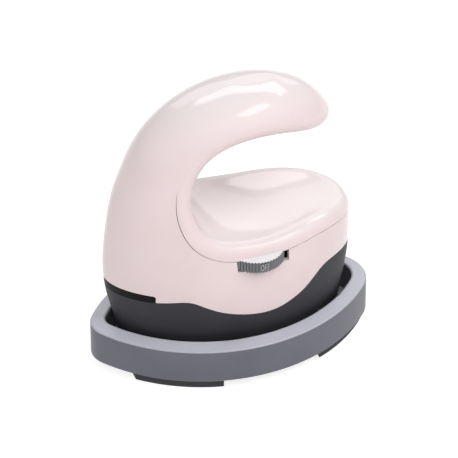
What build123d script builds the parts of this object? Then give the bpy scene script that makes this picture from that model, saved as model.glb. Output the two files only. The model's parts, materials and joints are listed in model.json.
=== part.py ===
from build123d import *
from math import atan2, cos, hypot, pi, radians, sin, sqrt
import os

os.makedirs("parts", exist_ok=True)

# A small hand held heat press, standing in its insulated safety base.
# X runs from the column end to the open end of the handle, the dial is on the -Y side, Z is up.
# The origin is on the table, under the middle of the base. All sizes are in millimetres.

# Safety base
base_length = 121.6
base_width = 74.8
base_wall = 6.6
base_tip_radius = 12.0
base_blunt_radius = 17.5
rim_height = 21.0
rim_round = 1.9
pocket_round = 1.3
base_floor = 1.9
guide_x = 33.5
guide_width = 2.2
guide_reach = 1.6
guide_drop = 2.5
base_cover_thickness = 1.6
base_cover_inset = 9.0
base_screw_radius = 1.2
base_screw_head = 2.4
base_screw_sink = 0.9
base_screw_bite = 1.4
base_screw_x_share = 0.56
base_screw_y_share = 0.27
foot_height = 4.7
foot_width = 6.0
foot_inset = 1.8
foot_seat = 1.0
foot_chamfer = 0.5
# Where each foot starts and ends along the base, and on which side it lies
foot_shares = {"foot_near": (-0.78, -0.24, -1), "foot_far": (-0.78, -0.24, 1), "foot_end": (0.49, 1.02, 0)}

# Heat proof pad in the base
pad_length = 98.0
pad_width = 54.0
pad_tip_radius = 9.0
heat_pad_thickness = 1.4
heat_pad_rib = 1.2
pad_ribs = 7
pad_rib_pitch = 12.0
pad_rib_length = 26.0
pad_rib_width = 3.0

# Heating plate
plate_length = 94.0
plate_width = 52.0
plate_tip_radius = 9.0
plate_flange = 3.4
plate_round = 1.0
plate_core = 4.8
plate_inset = 3.6
boss_radius = 3.0
boss_height = 8.0
boss_reach = 36.0
boss_side = 18.3
plate_screw_radius = 1.5
plate_screw_head = 2.7
plate_screw_head_height = 2.0
plate_screw_bite = 5.0

# Heating element, its straps, and the thermal parts on the plate
element_diameter = 6.4
element_spacing = 22.0
element_back = -27.0
element_front = 15.0
element_pin_radius = 1.2
element_pin_length = 4.0
strap_places = (-17.0, 5.0)
strap_width = 6.0
strap_thickness = 1.2
sensor_x = -6.0
sensor_length = 8.0
sensor_width = 5.0
sensor_height = 3.0
sensor_lead = 3.0
fuse_x = -13.0
fuse_y = -17.0
fuse_radius = 1.6
fuse_length = 10.0
fuse_lead = 3.0

# Insulating board and heat shield
shield_length = 78.0
shield_width = 41.0
board_sheet = 1.5
shield_sheet = 0.8
lead_x = -28.0
lead_side = 8.0
lead_hole = 2.2

# Press body
body_length = 107.0
body_width = 60.4
crown_height = 125.8
shell_wall = 2.2
cover_wall = 2.0
bead_radius = 5.0
seam_depth = 7.0
seam_gap = 0.25
web_thickness = 2.0
trim_height = 3.5
trim_corner = 1.2
trim_front_share = -0.733
shelf_height = 50.0
shelf_thickness = 2.0
shelf_depth = 19.0
post_radius = 3.0
rear_post_x = -38.0
rear_post_side = 8.8
front_post_x = 43.0
shell_screw_radius = 1.4
shell_screw_head = 2.5
shell_screw_head_height = 1.7
shell_screw_bite = 8.0

# Cord inlet
cord_height = 35.0
cord_x_share = -0.742
cord_y_share = 0.596
cord_bearing = 125.0
cord_bore_radius = 2.5
bush_radius = 3.1
bush_length = 5.0
bush_flange_radius = 3.6
bush_flange = 1.2
bush_proud = 0.9

# Circuit board and what it carries
pillar_radius = 3.0
pillar_height = 13.8
pillar_rear_x = -18.0
pillar_rear_side = 14.0
pillar_front_x = 24.0
pillar_front_side = 12.0
circuit_length = 72.0
circuit_width = 54.0
circuit_tip_radius = 10.0
circuit_sheet = 1.6
board_screw_radius = 1.2
board_screw_head = 2.3
board_screw_head_height = 1.4
board_screw_bite = 6.0
module_x = 25.0
module_y = 4.0
module_length = 15.0
module_width = 10.0
module_height = 8.0
module_chamfer = 0.4
terminal_x = -25.0
terminal_length = 8.0
terminal_width = 11.0
terminal_height = 7.0

# Dial and its rotary switch
dial_radius = 12.0
dial_thickness = 4.0
dial_ridges = 54
ridge_radius = 0.35
dial_x = 3.4
dial_y = -22.3
dial_floor = 54.2
shaft_radius = 2.0
shaft_rest = 1.4
switch_size = 9.0
switch_height = 5.6
switch_collar = 1.0
switch_collar_radius = 3.4
slot_middle = 4.65
slot_length = 22.7
slot_floor = 53.5
slot_height = 7.6
slot_reach = 4.5
dial_clearance = 0.5
dial_headroom = 0.3
dimple_x = 2.8
dimple_drop = 3.3
dimple_depth = 1.2
dimple_radius = 18.4
dimple_side = 0.25

# Clearances, and how far a cut runs past what it cuts
sliding_gap = 0.3
fit_gap = 0.1
shaft_gap = 0.05
overrun = 1.0

# Heights, built up from the table
cover_top = foot_height + base_cover_thickness
pocket_floor = cover_top + base_floor
pad_top = pocket_floor + heat_pad_thickness
plate_floor = pad_top + heat_pad_rib
flange_top = plate_floor + plate_flange
plate_top = flange_top + plate_core
boss_top = plate_top + boss_height
web_floor = boss_top + board_sheet + shield_sheet
web_top = web_floor + web_thickness
circuit_floor = web_top + pillar_height
circuit_top = circuit_floor + circuit_sheet
skirt_floor = flange_top + sliding_gap
press_height = crown_height - skirt_floor
half_length = body_length / 2
half_width = body_width / 2
cord_way = Vector(cos(radians(cord_bearing)), sin(radians(cord_bearing)), 0)
cord_spot = Vector(cord_x_share * half_length, cord_y_share * half_width, cord_height)
cord_plane = Plane(origin=cord_spot, z_dir=cord_way)
base_ends = ((-1, base_tip_radius), (1, base_blunt_radius))

# Places in the level plan
base_screw_x = base_screw_x_share * base_length / 2
base_screw_y = base_screw_y_share * base_width / 2
base_screw_spots = [(x, y) for x in (-base_screw_x, base_screw_x) for y in (-base_screw_y, base_screw_y)]
boss_spots = [(-boss_reach, 0), (0, -boss_side), (0, boss_side), (boss_reach, 0)]
lead_spots = [(lead_x, -lead_side), (lead_x, lead_side)]
shell_screw_spots = [(rear_post_x, -rear_post_side), (rear_post_x, rear_post_side), (front_post_x, 0)]
pillar_spots = [(pillar_rear_x, -pillar_rear_side), (pillar_rear_x, pillar_rear_side)]
pillar_spots += [(pillar_front_x, -pillar_front_side), (pillar_front_x, pillar_front_side)]

# Cylinders and boxes stand on a height, or hang down from it
on_floor = (Align.CENTER, Align.CENTER, Align.MIN)
on_ceiling = (Align.CENTER, Align.CENTER, Align.MAX)

# Level plan ovals of the press: height share, back and front shares of the half length,
# width share of the half width, and the fullness at the back and at the front, where a half is an ellipse.
body_shares = (
    (0.000, 0.915, 0.914, 0.903, 0.660, 0.600),
    (0.067, 0.942, 0.934, 0.924, 0.660, 0.580),
    (0.175, 0.999, 0.966, 0.982, 0.640, 0.550),
    (0.283, 1.024, 0.976, 1.000, 0.600, 0.510),
    (0.426, 1.007, 0.965, 0.960, 0.560, 0.460),
    (0.570, 0.956, 0.943, 0.924, 0.530, 0.470),
    (0.704, 0.856, 0.887, 0.870, 0.510, 0.490),
    (0.812, 0.737, 0.827, 0.795, 0.500, 0.500),
    (0.883, 0.597, 0.740, 0.705, 0.500, 0.500),
    (0.937, 0.420, 0.629, 0.583, 0.500, 0.500),
    (0.970, 0.242, 0.515, 0.430, 0.500, 0.500),
    (0.991, 0.072, 0.419, 0.245, 0.500, 0.500),
    (1.000, -0.048, 0.358, 0.053, 0.500, 0.500),
)
oval_points = 24

# Side view of the finger opening, from under the handle tip back to the throat and out along
# the deck: length share, height share, and how far each share moves at the rolled lip.
opening_shares = (
    (1.158, 0.755, 0.000, 0.072),
    (0.897, 0.764, 0.000, 0.072),
    (0.748, 0.776, 0.000, 0.072),
    (0.561, 0.788, 0.000, 0.072),
    (0.373, 0.803, 0.000, 0.072),
    (0.187, 0.811, 0.000, 0.072),
    (0.010, 0.806, 0.000, 0.072),
    (-0.147, 0.785, -0.029, 0.072),
    (-0.298, 0.737, -0.037, 0.063),
    (-0.381, 0.675, -0.037, 0.045),
    (-0.412, 0.605, -0.028, 0.030),
    (-0.392, 0.538, -0.019, 0.022),
    (-0.318, 0.480, -0.019, 0.018),
    (-0.191, 0.443, -0.019, 0.018),
    (-0.010, 0.423, 0.000, 0.022),
    (0.187, 0.418, 0.000, 0.026),
    (0.467, 0.433, 0.000, 0.032),
    (0.748, 0.446, 0.000, 0.042),
    (1.158, 0.452, 0.000, 0.044),
)
lip_share = 0.794
opening_plane_shares = (-1.19, -0.595, 0.0, 0.595, 1.19)

# Lower edge of the pale shell, seen from the side: length share and height share.
wave_shares = (
    (-1.271, 0.218),
    (-0.880, 0.218),
    (-0.727, 0.222),
    (-0.596, 0.231),
    (-0.493, 0.233),
    (-0.382, 0.209),
    (-0.267, 0.181),
    (-0.108, 0.156),
    (0.059, 0.142),
    (0.230, 0.146),
    (0.317, 0.160),
    (0.405, 0.180),
    (0.496, 0.211),
    (0.570, 0.242),
    (0.639, 0.261),
    (0.714, 0.266),
    (0.861, 0.262),
    (1.271, 0.225),
)


def side_radius(length, width, tip_radius):
    """Radius of the two wide side arcs of a pointed oval."""
    reach = length / 2 - tip_radius
    return (reach**2 + (width / 2) ** 2 - tip_radius**2) / (width - 2 * tip_radius)


def lens(length, width, tip_radius):
    """Pointed oval: two wide side arcs, rounded together at both tips."""
    radius = side_radius(length, width, tip_radius)
    with BuildSketch() as outline:
        with Locations((0, width / 2 - radius)):
            Circle(radius)
        with Locations((0, radius - width / 2)):
            Circle(radius, mode=Mode.INTERSECT)
        fillet(outline.vertices(), tip_radius)
    return outline.sketch


def lens_half(length, width, tip_radius, x):
    """Half width of the same outline at one place along it."""
    radius = side_radius(length, width, tip_radius)
    return width / 2 - radius + sqrt(radius**2 - x**2)


def base_lens(inset):
    """The outline of the safety base, blunter at the end away from the column, drawn in by the inset."""
    length = base_length - 2 * inset
    width = base_width - 2 * inset
    with BuildSketch() as outline:
        for x_side, end_radius in base_ends:
            with BuildSketch(mode=Mode.PRIVATE) as half:
                add(lens(length, width, max(end_radius - inset, end_radius / 4)))
                with Locations((x_side * base_length / 2, 0)):
                    Rectangle(base_length, base_width, mode=Mode.INTERSECT)
            add(half.sketch)
    return outline.sketch


def body_oval(index, inset):
    """Height and outline points of one level oval, drawn in by the inset at right angles to the wall."""
    rise_share, back_share, front_share, width_share = body_shares[index][:4]
    back_fullness_share, front_fullness_share = body_shares[index][4:]
    below = body_shares[max(index - 1, 0)]
    above = body_shares[min(index + 1, len(body_shares) - 1)]
    slope = atan2((below[3] - above[3]) * half_width, (above[0] - below[0]) * press_height)
    if index == 0:
        slope = 0
    if index == len(body_shares) - 1:
        slope = pi / 2
    draw_in = inset * cos(slope)
    height = skirt_floor + rise_share * press_height - inset * sin(slope)
    back = -back_share * half_length + draw_in
    front = front_share * half_length - draw_in
    width = width_share * half_width - draw_in
    points = []
    for step in range(oval_points):
        turn = pi + 2 * pi * step / oval_points
        along = (back + front) / 2 + (front - back) / 2 * cos(turn)
        fullness_share = front_fullness_share if cos(turn) > 0 else back_fullness_share
        across = width * abs(sin(turn)) ** (2 * fullness_share)
        points.append((along, across if sin(turn) >= 0 else -across))
    return height, points


def press_form(inset):
    """The whole egg shaped form of the press, lofted through its level ovals."""
    with BuildPart() as form:
        for index in range(len(body_shares)):
            height, points = body_oval(index, inset)
            with BuildSketch(Plane.XY.offset(height)):
                with BuildLine():
                    Spline(*points, periodic=True)
                make_face()
        loft()
    return form.part


def opening_line(y, growth):
    """Side view of the finger opening at one place across, with its edge moved outward by the growth."""
    bend = (y / (lip_share * half_width)) ** 2
    line = []
    for length_share, height_share, length_move, height_move in opening_shares:
        x = (length_share + length_move * bend) * half_length
        z = skirt_floor + (height_share + height_move * bend) * press_height
        line.append((x, z))
    last = len(line) - 1
    moved = []
    for index, (x, z) in enumerate(line):
        x0, z0 = line[max(index - 1, 0)]
        x1, z1 = line[min(index + 1, last)]
        run = hypot(x1 - x0, z1 - z0)
        side_move = 0 if index in (0, last) else growth * (z1 - z0) / run
        moved.append((x + side_move, z - growth * (x1 - x0) / run))
    return moved


def finger_opening(growth):
    """The finger opening as a solid: arched under the handle and dished along the deck."""
    with BuildPart() as space:
        for plane_share in opening_plane_shares:
            y = plane_share * half_width
            with BuildSketch(Plane.XZ.offset(-y)):
                with BuildLine():
                    edge = Spline(*opening_line(y, growth))
                    Line(edge @ 1, edge @ 0)
                make_face()
        loft()
    return space.part


def below_wave(gap):
    """Everything below the waved lower edge of the pale shell."""
    floor = skirt_floor - overrun
    with BuildPart() as space:
        with BuildSketch(Plane.XZ.offset(-body_width / 2 - overrun)):
            with BuildLine():
                points = [(x * half_length, skirt_floor + z * press_height - gap) for x, z in wave_shares]
                wave = Spline(*points)
                first, last = points[0], points[-1]
                Polyline(wave @ 1, (last[0], floor), (first[0], floor), wave @ 0)
            make_face()
        extrude(amount=body_width + 2 * overrun)
    return space.part


def trim_space(gap):
    """The side view of the trim band, wider by the gap, across the whole press."""
    foot = skirt_floor + wave_shares[0][1] * press_height
    with BuildPart() as space:
        with BuildSketch(Plane.XZ.offset(-body_width / 2 - overrun)) as side:
            with Locations((trim_front_share * half_length + gap, foot - overrun)):
                Rectangle(half_length, overrun + trim_height + gap, align=(Align.MAX, Align.MIN))
            fillet(side.vertices().sort_by(Axis.X)[-2:].sort_by(Axis.Z)[-1], trim_corner)
        extrude(amount=body_width + 2 * overrun)
    return space.part


def keep(piece, name):
    """Names one finished piece and writes it."""
    piece.part.label = name
    export_step(piece.part, f"parts/{name}.step")


# The press as one rounded body, and the hollow inside it
with BuildPart() as press_body:
    add(press_form(0))
    add(finger_opening(0), mode=Mode.SUBTRACT)
    wide_edges = press_body.edges().filter_by(lambda edge: edge.bounding_box().size.Y > half_width)
    fillet(wide_edges.sort_by(Axis.Z)[-1], bead_radius)

with BuildPart() as press_void:
    add(press_form(shell_wall))
    add(finger_opening(cover_wall), mode=Mode.SUBTRACT)
    wide_edges = press_void.edges().filter_by(lambda edge: edge.bounding_box().size.Y > half_width)
    fillet(wide_edges.sort_by(Axis.Z)[-1], bead_radius - cover_wall)


# Rubber feet: three strips that follow the edge of the base


def foot_plan(name, gap):
    """Plan of one foot, wider by the gap."""
    with BuildSketch() as plan:
        add(base_lens(foot_inset - gap))
        add(base_lens(foot_inset + foot_width + gap), mode=Mode.SUBTRACT)
        start_share, end_share, side = foot_shares[name]
        start = start_share * base_length / 2 - gap
        end = end_share * base_length / 2 + gap
        with Locations(((start + end) / 2, side * base_width / 2)):
            Rectangle(end - start, base_width * (2 - abs(side)), mode=Mode.INTERSECT)
    return plan.sketch


for name in foot_shares:
    with BuildPart() as foot:
        with BuildSketch():
            add(foot_plan(name, 0))
        extrude(amount=foot_height + foot_seat)
        chamfer(foot.edges().group_by(Axis.Z)[0], foot_chamfer)
    keep(foot, name)

# Safety base: the tray, a pocket with a rounded rim, locating ribs and seats for the feet
with BuildPart() as base_tray:
    with BuildSketch(Plane.XY.offset(foot_height)):
        add(base_lens(0))
    extrude(amount=rim_height - foot_height)
    fillet(base_tray.edges().group_by(Axis.Z)[-1], rim_round)
    with BuildSketch(Plane.XY.offset(pocket_floor)):
        add(base_lens(base_wall))
    extrude(amount=rim_height - pocket_floor, mode=Mode.SUBTRACT)
    rim_face = base_tray.faces().sort_by(Axis.Z)[-1]
    fillet(rim_face.inner_wires()[0].edges(), pocket_round)
    for x_side, end_radius in base_ends:
        pocket_length = base_length - 2 * base_wall
        pocket_width = base_width - 2 * base_wall
        guide_y = lens_half(pocket_length, pocket_width, end_radius - base_wall, guide_x) - guide_reach
        for y_side in (-1, 1):
            with BuildSketch(Plane.XY.offset(pocket_floor - overrun)):
                with Locations((x_side * guide_x, y_side * base_width / 2)):
                    Rectangle(guide_width, base_width - 2 * guide_y)
                add(base_lens(base_wall - overrun / 2), mode=Mode.INTERSECT)
            extrude(amount=rim_height - guide_drop - pocket_floor + overrun)
    with BuildSketch(Plane.XY.offset(foot_height)):
        add(base_lens(base_cover_inset - fit_gap))
    extrude(amount=base_cover_thickness, mode=Mode.SUBTRACT)
    for name in foot_shares:
        with BuildSketch(Plane.XY.offset(foot_height)):
            add(foot_plan(name, fit_gap))
        extrude(amount=foot_seat, mode=Mode.SUBTRACT)
    with Locations([(x, y, cover_top) for x, y in base_screw_spots]):
        Cylinder(base_screw_radius + shaft_gap, base_screw_bite, align=on_floor, mode=Mode.SUBTRACT)
keep(base_tray, "base_tray")

with BuildPart() as base_cover:
    with BuildSketch(Plane.XY.offset(foot_height)):
        add(base_lens(base_cover_inset))
        with Locations(base_screw_spots):
            Circle(base_screw_radius + fit_gap, mode=Mode.SUBTRACT)
    extrude(amount=base_cover_thickness)
    with Locations([(x, y, foot_height) for x, y in base_screw_spots]):
        Cylinder(base_screw_head + fit_gap, base_screw_sink, align=on_floor, mode=Mode.SUBTRACT)
keep(base_cover, "base_cover")

for number, (x, y) in enumerate(base_screw_spots, 1):
    with BuildPart() as base_screw:
        with Locations((x, y, foot_height + fit_gap)):
            Cylinder(base_screw_head, base_screw_sink - fit_gap, align=on_floor)
            Cylinder(base_screw_radius, base_cover_thickness + base_screw_bite - 2 * fit_gap, align=on_floor)
    keep(base_screw, f"base_screw_{number}")

# Heat proof pad: a sheet with raised ribs that the hot plate stands on
with BuildPart() as heat_pad:
    with BuildSketch(Plane.XY.offset(pocket_floor)):
        add(lens(pad_length, pad_width, pad_tip_radius))
    extrude(amount=heat_pad_thickness)
    with BuildSketch(Plane.XY.offset(pad_top)):
        with GridLocations(pad_rib_pitch, 0, pad_ribs, 1):
            SlotOverall(pad_rib_length, pad_rib_width, rotation=90)
    extrude(amount=heat_pad_rib)
keep(heat_pad, "heat_pad")

core_plan = lens(plate_length - 2 * plate_inset, plate_width - 2 * plate_inset, plate_tip_radius)
shield_plan = lens(shield_length, shield_width, plate_tip_radius)

# Heating plate: a smooth sole with a flange under the skirt, a thick core and four screw bosses
with BuildPart() as heating_plate:
    with BuildSketch(Plane.XY.offset(plate_floor)):
        add(lens(plate_length, plate_width, plate_tip_radius))
    extrude(amount=plate_flange)
    fillet(heating_plate.edges().group_by(Axis.Z)[0], plate_round)
    with BuildSketch(Plane.XY.offset(flange_top)):
        add(core_plan)
    extrude(amount=plate_core)
    with Locations([(x, y, plate_top) for x, y in boss_spots]):
        Cylinder(boss_radius, boss_height, align=on_floor)
    with Locations([(x, y, boss_top) for x, y in boss_spots]):
        Cylinder(plate_screw_radius + shaft_gap, plate_screw_bite, align=on_ceiling, mode=Mode.SUBTRACT)
keep(heating_plate, "heating_plate")

# Heating element: a hairpin tube on the plate, with a thin pin at each cold end
with BuildPart() as heating_element:
    tube_height = plate_top + element_diameter / 2
    with BuildLine(Plane.XY.offset(tube_height)) as hairpin:
        near_leg = Line((element_back, -element_spacing / 2), (element_front, -element_spacing / 2))
        bend = TangentArc(near_leg @ 1, (element_front, element_spacing / 2), tangent=near_leg % 1)
        Line(bend @ 1, (element_back, element_spacing / 2))
    with BuildSketch(Plane(near_leg @ 0, z_dir=near_leg % 0)):
        Circle(element_diameter / 2)
    sweep(path=hairpin.line)
    for side in (-1, 1):
        with Locations(Location((element_back, side * element_spacing / 2, tube_height), (0, -90, 0))):
            Cylinder(element_pin_radius, element_pin_length, align=on_floor)
keep(heating_element, "heating_element")

# Straps that hold the element down, each on a post of its own
for number, x in enumerate(strap_places, 1):
    with BuildPart() as strap:
        with Locations((x, 0, plate_top)):
            Cylinder(strap_width / 2, element_diameter, align=on_floor)
        with Locations((x, 0, plate_top + element_diameter)):
            Box(strap_width, element_spacing + element_diameter, strap_thickness, align=on_floor)
    keep(strap, f"element_strap_{number}")

# Thermal parts that rest on the plate between the legs of the element and beside them
with BuildPart() as temperature_sensor:
    with Locations((sensor_x, 0, plate_top)):
        Box(sensor_length, sensor_width, sensor_height, align=on_floor)
    fillet(temperature_sensor.edges().filter_by(Axis.Z), sensor_width / 4)
    with Locations(Location((sensor_x + sensor_length / 2, 0, plate_top + sensor_height / 2), (0, 90, 0))):
        Cylinder(sensor_height / 4, sensor_lead, align=on_floor)
keep(temperature_sensor, "temperature_sensor")

with BuildPart() as thermal_fuse:
    with Locations(Location((fuse_x, fuse_y, plate_top + fuse_radius), (0, 90, 0))):
        Cylinder(fuse_radius, fuse_length)
        Cylinder(fuse_radius / 3, fuse_length + 2 * fuse_lead)
keep(thermal_fuse, "thermal_fuse")

# Insulating board and metal heat shield, stacked on the bosses
with BuildPart() as insulation_board:
    with BuildSketch(Plane.XY.offset(boss_top)):
        add(shield_plan)
        with Locations(boss_spots):
            Circle(plate_screw_radius + fit_gap, mode=Mode.SUBTRACT)
        with Locations(lead_spots):
            Circle(lead_hole, mode=Mode.SUBTRACT)
    extrude(amount=board_sheet)
keep(insulation_board, "insulation_board")

with BuildPart() as heat_shield:
    with BuildSketch(Plane.XY.offset(boss_top + board_sheet)):
        add(shield_plan)
        with Locations(boss_spots):
            Circle(plate_screw_radius + fit_gap, mode=Mode.SUBTRACT)
        with Locations(lead_spots):
            Circle(lead_hole, mode=Mode.SUBTRACT)
    extrude(amount=shield_sheet)
keep(heat_shield, "heat_shield")

# Skirt: the dark tapered lower housing, with the web that everything inside is screwed to
with BuildPart() as web_slab:
    with BuildSketch(Plane.XY.offset(web_floor)):
        Rectangle(body_length + 2 * overrun, body_width)
    extrude(amount=web_thickness)

with BuildPart() as skirt_hollow:
    add(press_form(shell_wall))
    add(web_slab.part, mode=Mode.SUBTRACT)

with BuildPart() as skirt:
    add(press_form(0))
    add(below_wave(seam_gap), mode=Mode.INTERSECT)
    add(skirt_hollow.part, mode=Mode.SUBTRACT)
    with Locations([(x, y, web_floor) for x, y in boss_spots]):
        Cylinder(plate_screw_radius + fit_gap, web_thickness, align=on_floor, mode=Mode.SUBTRACT)
    with Locations([(x, y, web_floor) for x, y in shell_screw_spots]):
        Cylinder(shell_screw_radius + fit_gap, web_thickness, align=on_floor, mode=Mode.SUBTRACT)
    with Locations([(x, y, web_floor) for x, y in lead_spots]):
        Cylinder(lead_hole, web_thickness, align=on_floor, mode=Mode.SUBTRACT)
    with Locations([(x, y, web_top) for x, y in pillar_spots]):
        Cylinder(pillar_radius, pillar_height, align=on_floor)
    with Locations([(x, y, web_top + pillar_height) for x, y in pillar_spots]):
        Cylinder(board_screw_radius + shaft_gap, board_screw_bite, align=on_ceiling, mode=Mode.SUBTRACT)
    with Locations(cord_plane.location):
        Cylinder(bush_radius + shaft_gap, 2 * bush_length, mode=Mode.SUBTRACT)
keep(skirt, "skirt")

# Cord inlet: a bush through the skirt, at the back of the column end
with BuildPart() as cord_bush:
    with Locations(cord_plane.offset(bush_proud + bush_flange).location):
        Cylinder(bush_flange_radius, bush_flange, align=on_ceiling)
        Cylinder(bush_radius, bush_length, align=on_ceiling)
        Cylinder(cord_bore_radius, bush_length, align=on_ceiling, mode=Mode.SUBTRACT)
keep(cord_bush, "cord_bush")

# Screws through the web into the plate, from above
for number, (x, y) in enumerate(boss_spots, 1):
    with BuildPart() as plate_screw:
        with Locations((x, y, web_top)):
            Cylinder(plate_screw_head, plate_screw_head_height, align=on_floor)
            Cylinder(plate_screw_radius, web_top - boss_top + plate_screw_bite - fit_gap, align=on_ceiling)
    keep(plate_screw, f"plate_screw_{number}")

# Screws through the web into the shells, from below
for number, (x, y) in enumerate(shell_screw_spots, 1):
    with BuildPart() as shell_screw:
        with Locations((x, y, web_floor)):
            Cylinder(shell_screw_head, shell_screw_head_height, align=on_ceiling)
            Cylinder(shell_screw_radius, web_thickness + shell_screw_bite - fit_gap, align=on_floor)
    keep(shell_screw, f"shell_screw_{number}")

# Outer shell: column, handle top and sides, with the dial slot, and a shelf with posts for its screws
with BuildPart() as shell_shelf:
    with BuildSketch(Plane.XY.offset(shelf_height)):
        with Locations((-half_length, 0)):
            Rectangle(2 * shelf_depth, body_width)
    extrude(amount=shelf_thickness)
    add(press_form(shell_wall / 2), mode=Mode.INTERSECT)

with BuildPart() as outer_shell:
    add(press_body.part)
    add(below_wave(0), mode=Mode.SUBTRACT)
    add(trim_space(seam_gap), mode=Mode.SUBTRACT)
    add(finger_opening(seam_depth + seam_gap), mode=Mode.SUBTRACT)
    add(press_void.part, mode=Mode.SUBTRACT)
    with Locations((slot_middle, -half_width, slot_floor)):
        Box(slot_length, 2 * slot_reach, slot_height, align=on_floor, mode=Mode.SUBTRACT)
    with Locations((dial_x, dial_y, slot_floor)):
        Cylinder(dial_radius + dial_clearance, slot_height, align=on_floor, mode=Mode.SUBTRACT)
    with Locations((dimple_x, dimple_side - half_width - dimple_radius, slot_floor)):
        Cone(dimple_radius, dimple_radius + dimple_depth, dimple_drop, align=on_ceiling, mode=Mode.SUBTRACT)
    add(shell_shelf.part)
    with Locations([(x, y, web_top) for x, y in shell_screw_spots[:2]]):
        Cylinder(post_radius, shelf_height - web_top, align=on_floor)
        Cylinder(shell_screw_radius + shaft_gap, shell_screw_bite, align=on_floor, mode=Mode.SUBTRACT)
keep(outer_shell, "outer_shell")

# Inner cover: throat, deck and the underside of the handle, with its rolled lips and a screw post
deck_height = skirt_floor + opening_shares[-2][1] * press_height - cover_wall / 2
with BuildPart() as inner_cover:
    add(press_body.part)
    add(finger_opening(seam_depth), mode=Mode.INTERSECT)
    add(press_void.part, mode=Mode.SUBTRACT)
    with Locations((dial_x, dial_y, dial_floor + dial_thickness + dial_headroom)):
        Cylinder(dial_radius + dial_clearance, dial_thickness, align=on_ceiling, mode=Mode.SUBTRACT)
    with Locations([(x, y, web_top) for x, y in shell_screw_spots[2:]]):
        Cylinder(post_radius, deck_height - web_top, align=on_floor)
        Cylinder(shell_screw_radius + shaft_gap, shell_screw_bite, align=on_floor, mode=Mode.SUBTRACT)
keep(inner_cover, "inner_cover")

# Trim band round the column end
with BuildPart() as rear_trim:
    add(press_form(0))
    add(trim_space(0), mode=Mode.INTERSECT)
    add(below_wave(0), mode=Mode.SUBTRACT)
    add(press_form(shell_wall), mode=Mode.SUBTRACT)
keep(rear_trim, "rear_trim")

# Circuit board on its pillars, with the parts that it carries
with BuildPart() as circuit_board:
    with BuildSketch(Plane.XY.offset(circuit_floor)):
        add(lens(circuit_length, circuit_width, circuit_tip_radius))
        with Locations(pillar_spots):
            Circle(board_screw_radius + fit_gap, mode=Mode.SUBTRACT)
    extrude(amount=circuit_sheet)
keep(circuit_board, "circuit_board")

for number, (x, y) in enumerate(pillar_spots, 1):
    with BuildPart() as board_screw:
        with Locations((x, y, circuit_top)):
            Cylinder(board_screw_head, board_screw_head_height, align=on_floor)
            Cylinder(board_screw_radius, circuit_sheet + board_screw_bite - fit_gap, align=on_ceiling)
    keep(board_screw, f"board_screw_{number}")

with BuildPart() as power_module:
    with Locations((module_x, module_y, circuit_top)):
        Box(module_length, module_width, module_height, align=on_floor)
    chamfer(power_module.edges().group_by(Axis.Z)[-1], module_chamfer)
keep(power_module, "power_module")

with BuildPart() as terminal_block:
    with Locations((terminal_x, 0, web_top)):
        Box(terminal_length, terminal_width, terminal_height, align=on_floor)
    with Locations([(terminal_x, y * terminal_width / 4, web_top + terminal_height) for y in (-1, 1)]):
        Cylinder(terminal_width / 8, terminal_height / 2, align=on_ceiling, mode=Mode.SUBTRACT)
keep(terminal_block, "terminal_block")

# Rotary switch under the dial
shaft_hole = switch_height + switch_collar - shaft_rest + sliding_gap
with BuildPart() as switch_body:
    with Locations((dial_x, dial_y, circuit_top)):
        Box(switch_size, switch_size, switch_height, align=on_floor)
    with Locations((dial_x, dial_y, circuit_top + switch_height)):
        Cylinder(switch_collar_radius, switch_collar, align=on_floor)
    with Locations((dial_x, dial_y, circuit_top + switch_height + switch_collar)):
        Cylinder(shaft_radius + shaft_gap, shaft_hole, align=on_ceiling, mode=Mode.SUBTRACT)
keep(switch_body, "switch_body")

# Dial: a knurled wheel on a short shaft
with BuildPart() as dial_wheel:
    with BuildSketch(Plane.XY.offset(dial_floor)):
        with Locations((dial_x, dial_y)):
            Circle(dial_radius)
            with PolarLocations(dial_radius, dial_ridges):
                Circle(ridge_radius, mode=Mode.SUBTRACT)
            Circle(shaft_radius, mode=Mode.SUBTRACT)
    extrude(amount=dial_thickness)
keep(dial_wheel, "dial_wheel")

with BuildPart() as dial_shaft:
    with Locations((dial_x, dial_y, dial_floor + dial_thickness)):
        Cylinder(shaft_radius, dial_floor + dial_thickness - circuit_top - shaft_rest, align=on_ceiling)
keep(dial_shaft, "dial_shaft")
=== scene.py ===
import json
import math

import bpy
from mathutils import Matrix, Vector


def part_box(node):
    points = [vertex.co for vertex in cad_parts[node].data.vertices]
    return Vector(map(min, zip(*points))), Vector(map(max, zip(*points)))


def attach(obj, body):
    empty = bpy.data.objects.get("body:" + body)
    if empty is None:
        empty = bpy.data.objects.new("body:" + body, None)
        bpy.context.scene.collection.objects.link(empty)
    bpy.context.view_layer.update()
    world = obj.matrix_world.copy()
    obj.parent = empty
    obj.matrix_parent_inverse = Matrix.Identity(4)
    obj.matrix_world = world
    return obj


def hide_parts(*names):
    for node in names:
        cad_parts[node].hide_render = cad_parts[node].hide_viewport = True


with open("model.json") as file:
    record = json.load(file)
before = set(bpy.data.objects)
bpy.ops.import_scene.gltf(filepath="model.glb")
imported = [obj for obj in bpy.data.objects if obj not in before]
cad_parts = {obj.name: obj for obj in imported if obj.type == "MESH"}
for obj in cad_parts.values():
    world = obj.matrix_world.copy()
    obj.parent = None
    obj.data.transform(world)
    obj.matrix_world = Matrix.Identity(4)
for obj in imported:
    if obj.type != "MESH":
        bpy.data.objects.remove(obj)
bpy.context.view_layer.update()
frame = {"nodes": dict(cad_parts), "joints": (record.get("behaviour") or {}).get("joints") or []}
nodes = frame["nodes"]
bpy.ops.object.select_all(action="DESELECT")


# Standing off from the object and looking back at it
def direction(azimuth, elevation):
    """Points away from the object: degrees round from the dial side, and degrees above the table."""
    around, above = math.radians(azimuth), math.radians(elevation)
    return Vector((
        math.sin(around) * math.cos(above),
        -math.cos(around) * math.cos(above),
        math.sin(above),
    ))


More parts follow.
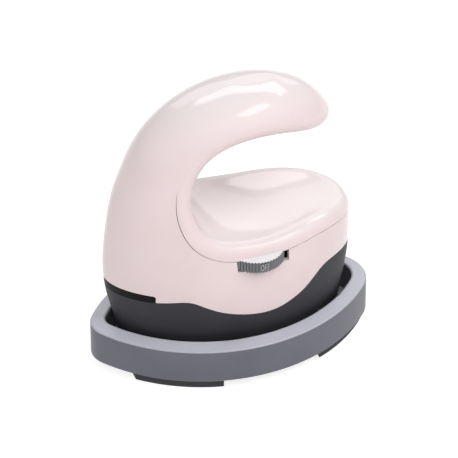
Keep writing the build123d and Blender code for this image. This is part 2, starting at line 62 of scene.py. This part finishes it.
def look_back(watcher, away):
    """Turns a camera or lamp that stands off in a direction to look back along it."""
    watcher.rotation_euler = (-away).to_track_quat("-Z", "Y").to_euler()


# Camera: above and left of the dial, far away, with a lens length in millimetres
camera_away = direction(azimuth=-20, elevation=35)
camera_distance = 1.5
camera_target = Vector((0, 0, 0.0542))
camera_lens = 284.15
camera_near = 0.05

bpy.ops.object.camera_add(location=camera_target + camera_away * camera_distance)
camera = bpy.context.object
camera.data.lens = camera_lens
camera.data.clip_start = camera_near
look_back(camera, camera_away)
bpy.context.scene.camera = camera
bpy.context.scene.view_settings.view_transform = "Standard"


# Building shader nodes
def feed(tree, socket, value):
    """Links a socket to another one, or sets it to a plain number, vector or colour."""
    if isinstance(value, bpy.types.NodeSocket):
        tree.links.new(value, socket)
    elif socket.type == "RGBA":
        socket.default_value = (*value, 1.0)
    else:
        socket.default_value = value


def feed_all(tree, node, **values):
    """Feeds a node's sockets by name, with an underscore for each space."""
    for name, value in values.items():
        feed(tree, node.inputs[name.replace("_", " ")], value)


def add_node(tree, kind, **values):
    node = tree.nodes.new(kind)
    feed_all(tree, node, **values)
    return node


def add_math(tree, operation, first, second, clamp=False):
    node = tree.nodes.new("ShaderNodeMath")
    node.operation = operation
    node.use_clamp = clamp
    feed(tree, node.inputs[0], first)
    feed(tree, node.inputs[1], second)
    return node.outputs[0]


def add_noise(tree, place, scale, detail=2.0, roughness=0.5):
    noise = add_node(tree, "ShaderNodeTexNoise", Vector=place, Scale=scale)
    feed_all(tree, noise, Detail=detail, Roughness=roughness)
    return noise.outputs["Fac"]


def object_place(tree):
    return tree.nodes.new("ShaderNodeTexCoord").outputs["Object"]


# Shader groups: effects that several finishes share
def start_group(name, inputs, outputs):
    """A shader group with named numbers going in, each with its usual value, and coming out."""
    tree = bpy.data.node_groups.new(name, "ShaderNodeTree")
    for label, usual in inputs.items():
        socket = tree.interface.new_socket(label, in_out="INPUT", socket_type="NodeSocketFloat")
        socket.default_value = usual
    for label in outputs:
        tree.interface.new_socket(label, in_out="OUTPUT", socket_type="NodeSocketFloat")
    return tree, tree.nodes.new("NodeGroupInput"), tree.nodes.new("NodeGroupOutput")


def make_moulding_group():
    """Fine spark grain and the slow clouding of moulded plastic."""
    grain_detail, grain_roughness = 3.0, 0.6
    cloud_detail, cloud_low, cloud_high = 4.0, 0.35, 0.65
    tree, given, result = start_group(
        "moulding_texture", {"Grain Scale": 3000.0, "Cloud Scale": 40.0}, ("Grain", "Cloud"))
    place = object_place(tree)
    grain = add_noise(tree, place, given.outputs["Grain Scale"], grain_detail, grain_roughness)
    cloud = add_noise(tree, place, given.outputs["Cloud Scale"], cloud_detail)
    spread = add_node(tree, "ShaderNodeMapRange", Value=cloud, From_Min=cloud_low, From_Max=cloud_high)
    feed_all(tree, result, Grain=grain, Cloud=spread.outputs["Result"])
    return tree


def make_edge_group():
    """Where corners are rubbed or carry a painted edge sheen, broken up so that no edge is lightened evenly.
    """
    bevel_samples, edge_gain, breakup_detail = 6, 6.0, 4.0
    tree, given, result = start_group(
        "rubbed_and_sheen_edges", {"Width": 0.0006, "Amount": 1.0, "Breakup Scale": 220.0}, ("Mask",))
    rounded = add_node(tree, "ShaderNodeBevel", Radius=given.outputs["Width"])
    rounded.samples = bevel_samples
    facing = tree.nodes.new("ShaderNodeNewGeometry")
    agree = tree.nodes.new("ShaderNodeVectorMath")
    agree.operation = "DOT_PRODUCT"
    feed(tree, agree.inputs[0], rounded.outputs["Normal"])
    feed(tree, agree.inputs[1], facing.outputs["Normal"])
    corner = add_math(tree, "SUBTRACT", 1.0, agree.outputs["Value"], clamp=True)
    stronger = add_math(tree, "MULTIPLY", corner, edge_gain, clamp=True)
    breakup = add_noise(tree, object_place(tree), given.outputs["Breakup Scale"], breakup_detail)
    broken = add_math(tree, "MULTIPLY", stronger, breakup)
    scaled = add_math(tree, "MULTIPLY", broken, given.outputs["Amount"], clamp=True)
    feed_all(tree, result, Mask=scaled)
    return tree


def make_dust_and_sheen_group():
    """Dust on what faces up, and a painted top sheen where light falls from above: flecks in patches, an
    even film, or something between.
    """
    upward_power, film_share = 2.0, 0.3
    fleck_detail, fleck_roughness, patch_scale = 5.0, 0.7, 35.0
    tree, given, result = start_group(
        "dust_and_top_sheen", {"Amount": 0.1, "Evenness": 0.2, "Fleck Scale": 500.0}, ("Mask",))
    facing = tree.nodes.new("ShaderNodeNewGeometry")
    parts = add_node(tree, "ShaderNodeSeparateXYZ", Vector=facing.outputs["Normal"])
    above = add_math(tree, "MAXIMUM", parts.outputs["Z"], 0.0)
    upward = add_math(tree, "POWER", above, upward_power)
    place = object_place(tree)
    flecks = add_noise(tree, place, given.outputs["Fleck Scale"], fleck_detail, fleck_roughness)
    patches = add_noise(tree, place, patch_scale)
    spots = add_math(tree, "MULTIPLY", flecks, patches)
    unevenness = add_math(tree, "SUBTRACT", 1.0, given.outputs["Evenness"])
    spotty = add_math(tree, "MULTIPLY", spots, unevenness)
    film = add_math(tree, "MULTIPLY", given.outputs["Evenness"], film_share)
    covered = add_math(tree, "ADD", spotty, film)
    top_dust_and_sheen = add_math(tree, "MULTIPLY", upward, covered)
    scaled = add_math(tree, "MULTIPLY", top_dust_and_sheen, given.outputs["Amount"], clamp=True)
    feed_all(tree, result, Mask=scaled)
    return tree


def make_brushing_group():
    """Long fine scratches along one direction of worked metal."""
    line_stretch, line_detail, cloud_detail = (0.04, 1.0, 1.0), 3.0, 3.0
    tree, given, result = start_group(
        "brushed_lines", {"Line Scale": 600.0, "Cloud Scale": 60.0}, ("Lines", "Cloud"))
    place = object_place(tree)
    stretched = add_node(tree, "ShaderNodeMapping", Vector=place, Scale=line_stretch)
    lines = add_noise(tree, stretched.outputs["Vector"], given.outputs["Line Scale"], line_detail)
    cloud = add_noise(tree, place, given.outputs["Cloud Scale"], cloud_detail)
    feed_all(tree, result, Lines=lines, Cloud=cloud)
    return tree


moulding_texture = make_moulding_group()
rubbed_and_sheen_edges = make_edge_group()
dust_and_top_sheen = make_dust_and_sheen_group()
brushed_lines = make_brushing_group()


# Building materials
def start_material(name):
    material = bpy.data.materials.new(name)
    material.use_nodes = True
    tree = material.node_tree
    return material, tree, tree.nodes["Principled BSDF"]


def add_group(tree, group, **values):
    node = tree.nodes.new("ShaderNodeGroup")
    node.node_tree = group
    feed_all(tree, node, **values)
    return node


def mix_colours(tree, share, first, second):
    node = tree.nodes.new("ShaderNodeMix")
    node.data_type = "RGBA"
    feed_all(tree, node, Factor=share)
    ends = [socket for socket in node.inputs if socket.type == "RGBA"]
    feed(tree, ends[0], first)
    feed(tree, ends[1], second)
    return [socket for socket in node.outputs if socket.type == "RGBA"][0]


def spread_between(tree, value, low, high):
    spread = add_node(tree, "ShaderNodeMapRange", Value=value, To_Min=low, To_Max=high)
    return spread.outputs["Result"]


def add_bump(tree, height, strength, depth):
    bump = add_node(tree, "ShaderNodeBump", Height=height, Strength=strength, Distance=depth)
    return bump.outputs["Normal"]


def make_plastic(name, dark, light, worn_and_sheen, edge_wear_and_sheen, rough, grain, depth, dust=0.06, even=0.2,
                 settled=(0.62, 0.6, 0.58), shine=0.5, coat=0.0):
    """Moulded plastic or rubber: clouded colour, a spark grain, lighter edges that are partly wear and
    partly painted edge sheen, and a top lightening that is a trace of dust or, when strong, a painted top
    sheen.
    """
    grain_strength, coat_roughness = 0.35, 0.06
    material, tree, shader = start_material(name)
    texture = add_group(tree, moulding_texture, Grain_Scale=grain)
    edges = add_group(tree, rubbed_and_sheen_edges, Amount=edge_wear_and_sheen)
    # Top lightening: a trace of dust, or a painted sheen of overhead light when the amount is large
    top_dust_and_sheen = add_group(tree, dust_and_top_sheen, Amount=dust, Evenness=even)
    clouded = mix_colours(tree, texture.outputs["Cloud"], dark, light)
    rubbed_and_sheened = mix_colours(tree, edges.outputs["Mask"], clouded, worn_and_sheen)
    feed_all(
        tree, shader,
        Base_Color=mix_colours(tree, top_dust_and_sheen.outputs["Mask"], rubbed_and_sheened, settled),
        Roughness=spread_between(tree, texture.outputs["Cloud"], *rough),
        Normal=add_bump(tree, texture.outputs["Grain"], grain_strength, depth),
        Specular_IOR_Level=shine,
        Coat_Weight=coat,
        Coat_Roughness=coat_roughness)
    return material


def make_metal(name, dark, light, edge_wear_and_sheen, rough, lines, depth):
    """Worked metal: brushing lines in its gloss and bump, with brighter corners that are partly wear and
    partly painted edge sheen.
    """
    line_strength, corner_width, corner_bright = 0.3, 0.0003, (0.86, 0.86, 0.87)
    material, tree, shader = start_material(name)
    brushing = add_group(tree, brushed_lines, Line_Scale=lines)
    edges = add_group(tree, rubbed_and_sheen_edges, Amount=edge_wear_and_sheen, Width=corner_width)
    clouded = mix_colours(tree, brushing.outputs["Cloud"], dark, light)
    feed_all(
        tree, shader,
        Base_Color=mix_colours(tree, edges.outputs["Mask"], clouded, corner_bright),
        Roughness=spread_between(tree, brushing.outputs["Lines"], *rough),
        Normal=add_bump(tree, brushing.outputs["Lines"], line_strength, depth),
        Metallic=1.0)
    return material


# Finishes of the housing, the base and the plate
# The shell's strong, almost even top lightening is painted sheen of the overhead light on upward faces, not
# dust; its lighter edges are faint wear with some painted edge sheen.
shell_gloss = make_plastic(
    "shell_gloss_pink", dark=(0.83, 0.67, 0.683), light=(0.86, 0.705, 0.718), worn_and_sheen=(0.88, 0.8, 0.805),
    edge_wear_and_sheen=0.3, rough=(0.1, 0.13), grain=2600.0, depth=0.000003,
    dust=2.0, even=0.98, settled=(0.87, 0.838, 0.84), coat=0.3)
# The tray's strong top lightening is painted sheen of light on its rim, not dust; its lighter edges are wear
# with some painted edge sheen.
tray_satin = make_plastic(
    "tray_satin_grey", dark=(0.12, 0.12, 0.148), light=(0.138, 0.138, 0.166), worn_and_sheen=(0.36, 0.36, 0.38),
    edge_wear_and_sheen=0.6, rough=(0.36, 0.42), grain=2200.0, depth=0.00002,
    dust=3.4, even=0.88, settled=(0.57, 0.57, 0.64))
skirt_matt = make_plastic(
    "skirt_fine_matt", dark=(0.03, 0.03, 0.036), light=(0.038, 0.038, 0.045), worn_and_sheen=(0.09, 0.09, 0.095),
    edge_wear_and_sheen=0.5, rough=(0.5, 0.58), grain=2800.0, depth=0.00002, shine=0.25)
trim_satin = make_plastic(
    "trim_satin_black", dark=(0.002, 0.002, 0.003), light=(0.005, 0.005, 0.006), worn_and_sheen=(0.02, 0.02, 0.022),
    edge_wear_and_sheen=0.5, rough=(0.3, 0.38), grain=2600.0, depth=0.00001, dust=0.0, shine=0.08)
foot_rubber = make_plastic(
    "foot_soft_rubber", dark=(0.03, 0.03, 0.036), light=(0.04, 0.04, 0.047), worn_and_sheen=(0.09, 0.09, 0.095),
    edge_wear_and_sheen=0.7, rough=(0.68, 0.8), grain=1600.0, depth=0.00004)
cover_matt = make_plastic(
    "cover_matt_grey", dark=(0.085, 0.085, 0.095), light=(0.11, 0.11, 0.12), worn_and_sheen=(0.18, 0.18, 0.19),
    edge_wear_and_sheen=0.5, rough=(0.5, 0.6), grain=2400.0, depth=0.00002)
pad_silicone = make_plastic(
    "pad_heat_silicone", dark=(0.13, 0.13, 0.14), light=(0.17, 0.17, 0.18), worn_and_sheen=(0.24, 0.24, 0.25),
    edge_wear_and_sheen=0.4, rough=(0.6, 0.72), grain=1500.0, depth=0.00004, dust=0.12)
bush_rubber = make_plastic(
    "bush_black_rubber", dark=(0.022, 0.022, 0.024), light=(0.032, 0.032, 0.034), worn_and_sheen=(0.07, 0.07, 0.075),
    edge_wear_and_sheen=0.6, rough=(0.6, 0.7), grain=1800.0, depth=0.00003)
screw_plate = make_metal(
    "screw_plated_steel", dark=(0.48, 0.48, 0.5), light=(0.6, 0.6, 0.62),
    edge_wear_and_sheen=0.8, rough=(0.25, 0.38), lines=1200.0, depth=0.000005)
plate_cast = make_metal(
    "plate_cast_alloy", dark=(0.55, 0.55, 0.57), light=(0.66, 0.66, 0.68),
    edge_wear_and_sheen=0.7, rough=(0.3, 0.42), lines=500.0, depth=0.00001)

# Finishes of the dial: a dark flank that is painted shade and a white top that is a painted highlight of the
# chrome wheel, with its print and the steel shaft
# Dark plating on the flank is painted shade: the chrome wheel's sides drawn dark as they look in shade
dial_flank_painted_shade = make_metal(
    "dial_painted_shade_plating", dark=(0.14, 0.14, 0.15), light=(0.2, 0.2, 0.21),
    edge_wear_and_sheen=0.25, rough=(0.3, 0.4), lines=1800.0, depth=0.000003)
# The bright white top is a painted highlight: the chrome wheel's top drawn light as it looks under overhead
# light
dial_top_painted_highlight = make_plastic(
    "dial_painted_highlight_top", dark=(0.8, 0.8, 0.82), light=(0.88, 0.88, 0.9), worn_and_sheen=(0.9, 0.9, 0.9),
    edge_wear_and_sheen=0.5, rough=(0.2, 0.3), grain=2400.0, depth=0.000002, dust=0.01)
dial_print = make_plastic(
    "dial_print_grey", dark=(0.46, 0.46, 0.48), light=(0.56, 0.56, 0.58), worn_and_sheen=(0.5, 0.5, 0.52),
    edge_wear_and_sheen=0.5, rough=(0.4, 0.5), grain=2400.0, depth=0.000004, dust=0.02)
shaft_steel = make_metal(
    "shaft_turned_steel", dark=(0.54, 0.54, 0.56), light=(0.64, 0.64, 0.66),
    edge_wear_and_sheen=0.6, rough=(0.22, 0.34), lines=1500.0, depth=0.000005)

# Finishes of the parts inside
element_tube = make_metal(
    "element_drawn_tube", dark=(0.42, 0.41, 0.4), light=(0.52, 0.5, 0.47),
    edge_wear_and_sheen=0.5, rough=(0.35, 0.5), lines=700.0, depth=0.00001)
shield_sheet = make_metal(
    "shield_bright_sheet", dark=(0.66, 0.66, 0.68), light=(0.76, 0.76, 0.77),
    edge_wear_and_sheen=0.6, rough=(0.2, 0.32), lines=800.0, depth=0.000005)
fuse_can = make_metal(
    "fuse_metal_can", dark=(0.62, 0.62, 0.62), light=(0.72, 0.72, 0.72),
    edge_wear_and_sheen=0.6, rough=(0.25, 0.35), lines=900.0, depth=0.000005)
mica_board = make_plastic(
    "board_pressed_mica", dark=(0.5, 0.42, 0.32), light=(0.6, 0.52, 0.4), worn_and_sheen=(0.68, 0.6, 0.5),
    edge_wear_and_sheen=0.6, rough=(0.5, 0.65), grain=900.0, depth=0.00004)
sensor_ceramic = make_plastic(
    "sensor_white_ceramic", dark=(0.76, 0.74, 0.68), light=(0.82, 0.8, 0.74), worn_and_sheen=(0.86, 0.85, 0.8),
    edge_wear_and_sheen=0.4, rough=(0.3, 0.4), grain=1800.0, depth=0.00001)
circuit_green = make_plastic(
    "board_green_mask", dark=(0.04, 0.18, 0.1), light=(0.055, 0.24, 0.13), worn_and_sheen=(0.4, 0.42, 0.24),
    edge_wear_and_sheen=0.8, rough=(0.28, 0.36), grain=1400.0, depth=0.00001)
electric_black = make_plastic(
    "electric_black_plastic", dark=(0.03, 0.03, 0.032), light=(0.045, 0.045, 0.048),
    worn_and_sheen=(0.11, 0.11, 0.115), edge_wear_and_sheen=0.6, rough=(0.45, 0.55), grain=2000.0, depth=0.00002)

# Each material slot of the record, and the finish that its nodes get
finishes = {
    "tray": tray_satin,
    "foot": foot_rubber,
    "base_cover": cover_matt,
    "screw_steel": screw_plate,
    "pad": pad_silicone,
    "plate": plate_cast,
    "element": element_tube,
    "sensor": sensor_ceramic,
    "fuse": fuse_can,
    "mica": mica_board,
    "shield": shield_sheet,
    "skirt": skirt_matt,
    "bush": bush_rubber,
    "shell": shell_gloss,
    "trim": trim_satin,
    "circuit": circuit_green,
    "black_parts": electric_black,
    "dial": dial_flank_painted_shade,
    "shaft": shaft_steel,
}
for node in nodes.values():
    for held in node.material_slots:
        held.material = finishes[held.material.name.split(".")[0]]


# Modelling helpers
def select_vertices(piece, chosen):
    """Leaves edit mode open on the vertices that the test picks by their place or normal."""
    bpy.ops.object.mode_set(mode="EDIT")
    bpy.ops.mesh.select_mode(type="VERT")
    bpy.ops.mesh.select_all(action="DESELECT")
    bpy.ops.object.mode_set(mode="OBJECT")
    for vertex in piece.data.vertices:
        vertex.select = chosen(vertex)
    bpy.ops.object.mode_set(mode="EDIT")


def round_edges(piece, width, segments, angle):
    """Rounds the edges that turn by more than the angle."""
    rounding = piece.modifiers.new("rounding", "BEVEL")
    rounding.width = width
    rounding.segments = segments
    rounding.limit_method = "ANGLE"
    rounding.angle_limit = math.radians(angle)
    bpy.ops.object.modifier_apply(modifier=rounding.name)


def copy_node(label, name):
    """A copy of a CAD node with its own welded mesh, active and selected."""
    weld_distance = 0.000001
    bpy.ops.object.select_all(action="DESELECT")
    source = nodes[label]
    piece = bpy.data.objects.new(name, source.data.copy())
    bpy.context.scene.collection.objects.link(piece)
    piece.matrix_world = source.matrix_world
    bpy.context.view_layer.objects.active = piece
    piece.select_set(True)
    bpy.ops.object.transform_apply(location=True, rotation=True, scale=True)
    if piece.data.has_custom_normals:
        bpy.ops.mesh.customdata_custom_splitnormals_clear()
    select_vertices(piece, lambda vertex: True)
    bpy.ops.mesh.remove_doubles(threshold=weld_distance)
    bpy.ops.mesh.normals_make_consistent(inside=False)
    bpy.ops.object.mode_set(mode="OBJECT")
    return piece


def settle(piece, name, finish, angle):
    """Puts the piece's place into its mesh, smooths what turns by less than the angle, and finishes it."""
    bpy.ops.object.transform_apply(location=True, rotation=True, scale=True)
    bpy.ops.object.shade_smooth_by_angle(angle=math.radians(angle))
    piece.name = name
    piece.data.materials.clear()
    piece.data.materials.append(finish)


# Dial: a wheel with sharp knurled teeth, its top painted as a bright highlight and its flank as dark shade,
# standing where the CAD wheel stands
dial_radius, dial_height, dial_teeth = 0.012, 0.005, 54
valley_share, tooth_rounding = 0.945, 0.00014
faces_up = 0.8
dial_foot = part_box("dial_wheel")[0][2]
dial_axis = next(joint["pos_m"] for joint in frame["joints"] if joint["name"] == "dial_turn")
dial_spot = Vector((dial_axis[0], dial_axis[1], dial_foot + dial_height / 2))


def in_valley(vertex):
    """Every second corner round the wheel lies in a valley between two teeth."""
    turn = math.atan2(vertex.co.y, vertex.co.x) / math.pi * dial_teeth
    return round(turn) % 2 == 1


bpy.ops.object.select_all(action="DESELECT")
bpy.ops.mesh.primitive_cylinder_add(
    vertices=2 * dial_teeth, radius=dial_radius, depth=dial_height, end_fill_type="NGON", location=(0, 0, 0))
wheel = bpy.context.object
select_vertices(wheel, in_valley)
bpy.ops.transform.resize(value=(valley_share, valley_share, 1.0), center_override=(0, 0, 0))
bpy.ops.object.mode_set(mode="OBJECT")
round_edges(wheel, tooth_rounding, segments=2, angle=30)
wheel.location = dial_spot
settle(wheel, "dial_knurled_wheel", dial_flank_painted_shade, angle=25)
# Faces turned up take the painted highlight top finish; the rest keep the painted shade flank
wheel.data.materials.append(dial_top_painted_highlight)
for face in wheel.data.polygons:
    face.material_index = int(face.normal.z > faces_up)
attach(wheel, "dial")
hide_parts("dial_wheel")

# Marks printed on the dial, by their bearings: off towards the front, and the settings behind the slot
mark_bearings = {"OFF": -90, "1": -155, "2": -175, "3": -195}
letter_height, letter_depth, letter_narrowing = 0.0042, 0.00012, 0.45
letter_step = 6.0


def print_letter(letter, bearing):
    """One upright letter on the flank of the wheel, facing out."""
    turn, quarter_turn = math.radians(bearing), math.radians(90)
    bpy.ops.object.select_all(action="DESELECT")
    bpy.ops.object.text_add(location=(0, 0, 0))
    text = bpy.context.object
    text.data.body = letter
    text.data.align_x = "CENTER"
    text.data.align_y = "CENTER"
    text.data.size = letter_height
    text.data.extrude = letter_depth
    bpy.ops.object.convert(target="MESH")
    mark = bpy.context.object
    mark.scale = (letter_narrowing, 1.0, 1.0)
    mark.rotation_euler = (quarter_turn, 0, turn + quarter_turn)
    mark.location = dial_spot + Vector((math.cos(turn), math.sin(turn), 0)) * dial_radius
    bpy.ops.object.transform_apply(location=True, rotation=True, scale=True)
    return mark


letters = []
for word, bearing in mark_bearings.items():
    first_bearing = bearing - (len(word) - 1) / 2 * letter_step
    for order, letter in enumerate(word):
        letters.append(print_letter(letter, first_bearing + order * letter_step))
bpy.ops.object.select_all(action="DESELECT")
for mark in letters:
    mark.select_set(True)
bpy.context.view_layer.objects.active = letters[0]
bpy.ops.object.join()
marks = bpy.context.object
settle(marks, "dial_marks", dial_print, angle=35)
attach(marks, "dial")

# Inner cover: its seam with the shell narrows up the column and is closed along the handle
seam_foot, seam_closed = 0.086, 0.096
seam_width, seam_sink = 0.00034, 0.00006
cover = copy_node("inner_cover", "inner_cover_body")
shell = nodes["outer_shell"]
to_shell = shell.matrix_world.inverted()
seam = cover.vertex_groups.new(name="seam")
for vertex in cover.data.vertices:
    found, spot, _, _ = shell.closest_point_on_mesh(to_shell @ vertex.co)
    share = (vertex.co.z - seam_foot) / (seam_closed - seam_foot)
    if found and share > 0 and (shell.matrix_world @ spot - vertex.co).length < seam_width:
        seam.add([vertex.index], min(share, 1.0), "REPLACE")
closing = cover.modifiers.new("seam_closing", "SHRINKWRAP")
closing.target = shell
closing.wrap_method = "NEAREST_SURFACEPOINT"
closing.offset = -seam_sink
closing.vertex_group = seam.name
bpy.ops.object.modifier_apply(modifier=closing.name)
settle(cover, "inner_cover_body", shell_gloss, angle=30)
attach(cover, "press")
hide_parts("inner_cover")

# Tray: the rim of the safety base falls outward, so its near side catches the light
rim_round, rim_fall = 0.0019, 0.0013
rim_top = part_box("base_tray")[1][2]
rim_foot = rim_top - rim_round
rim_margin, outward_least, side_weight = 0.00001, 0.0005, 2
tray = copy_node("base_tray", "tray_body")


def on_outer_rim(vertex):
    """Above the foot of the rim's rounding and facing out, which on a long oval leans to its sides."""
    outward = vertex.normal.x * vertex.co.x + side_weight * vertex.normal.y * vertex.co.y
    return vertex.co.z > rim_foot + rim_margin and outward > outward_least


select_vertices(tray, on_outer_rim)
bpy.ops.transform.resize(value=(1.0, 1.0, 1 - rim_fall / rim_round), center_override=(0, 0, rim_foot))
bpy.ops.object.mode_set(mode="OBJECT")
settle(tray, "tray_body", tray_satin, angle=30)
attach(tray, "safety_base")
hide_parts("base_tray")


# Studio: a pale floor and room, each with a plain look of its own where it is seen
def show_where_seen(tree, plain, seen, output):
    """Puts out the plain shader, and the seen one where the camera, a mirror or clear parts show it."""
    path = tree.nodes.new("ShaderNodeLightPath")
    mirrored = add_math(tree, "MAXIMUM", path.outputs["Is Camera Ray"], path.outputs["Is Glossy Ray"])
    share = add_math(tree, "MAXIMUM", mirrored, path.outputs["Is Transmission Ray"])
    mix = tree.nodes.new("ShaderNodeMixShader")
    for socket, value in zip(mix.inputs, (share, plain.outputs[0], seen.outputs[0])):
        feed(tree, socket, value)
    feed(tree, output.inputs["Surface"], mix.outputs[0])


# Floor
floor_size = 6.0
paper_white, paper_rough = (0.8, 0.8, 0.8), 0.9
glow_strength, shadow_share = 0.8, (0.42, 0.42, 0.42)
bpy.ops.mesh.primitive_plane_add(size=floor_size, location=(0, 0, 0))
floor = bpy.context.object
floor.name = "studio_floor"
floor_paper, floor_tree, floor_shader = start_material("floor_white_paper")
feed_all(floor_tree, floor_shader, Base_Color=paper_white, Roughness=paper_rough, Specular_IOR_Level=0.0)
paper_glow = add_node(floor_tree, "ShaderNodeEmission", Strength=glow_strength)
paper_shade = add_node(floor_tree, "ShaderNodeBsdfDiffuse", Color=shadow_share)
paper_bright = floor_tree.nodes.new("ShaderNodeAddShader")
feed(floor_tree, paper_bright.inputs[0], paper_glow.outputs[0])
feed(floor_tree, paper_bright.inputs[1], paper_shade.outputs[0])
show_where_seen(floor_tree, floor_shader, paper_bright, floor_tree.nodes["Material Output"])
floor.data.materials.append(floor_paper)

# Room
room_strength, room_seen_strength = 0.45, 1.0
world = bpy.data.worlds.new("studio_room")
world.use_nodes = True
bpy.context.scene.world = world
room_tree = world.node_tree
room_light = room_tree.nodes["Background"]
feed_all(room_tree, room_light, Color=(1.0, 1.0, 1.0), Strength=room_strength)
room_seen = add_node(room_tree, "ShaderNodeBackground", Strength=room_seen_strength)
show_where_seen(room_tree, room_light, room_seen, room_tree.nodes["World Output"])

# Lamps: two that only show in the gloss, one behind, and two that light without showing
lamp_target = Vector((0, 0, 0.06))


def hang_panel(name, azimuth, elevation, distance, width, height, watts, lights=True, shows=True):
    """A soft panel lamp. It lights the surfaces, shows as a highlight in their gloss, or does both."""
    away = direction(azimuth, elevation)
    bpy.ops.object.light_add(type="AREA", location=lamp_target + away * distance)
    lamp = bpy.context.object
    lamp.name = name
    lamp.data.shape = "RECTANGLE"
    lamp.data.size = width
    lamp.data.size_y = height
    lamp.data.energy = watts
    look_back(lamp, away)
    lamp.visible_diffuse = lights
    lamp.visible_glossy = shows


hang_panel(
    "overhead_strip", azimuth=148, elevation=60, distance=0.75, width=0.8, height=0.18, watts=1.25,
    lights=False)
hang_panel(
    "bead_panel", azimuth=40, elevation=67, distance=1.0, width=0.4, height=0.26, watts=0.9,
    lights=False)
hang_panel(
    "back_panel", azimuth=160, elevation=33, distance=1.0, width=1.2, height=0.5, watts=1.7)
hang_panel(
    "key_panel", azimuth=42, elevation=50, distance=1.1, width=0.7, height=0.7, watts=5.0,
    shows=False)
hang_panel(
    "fill_panel", azimuth=-38, elevation=42, distance=1.2, width=0.9, height=0.9, watts=4.3,
    shows=False)
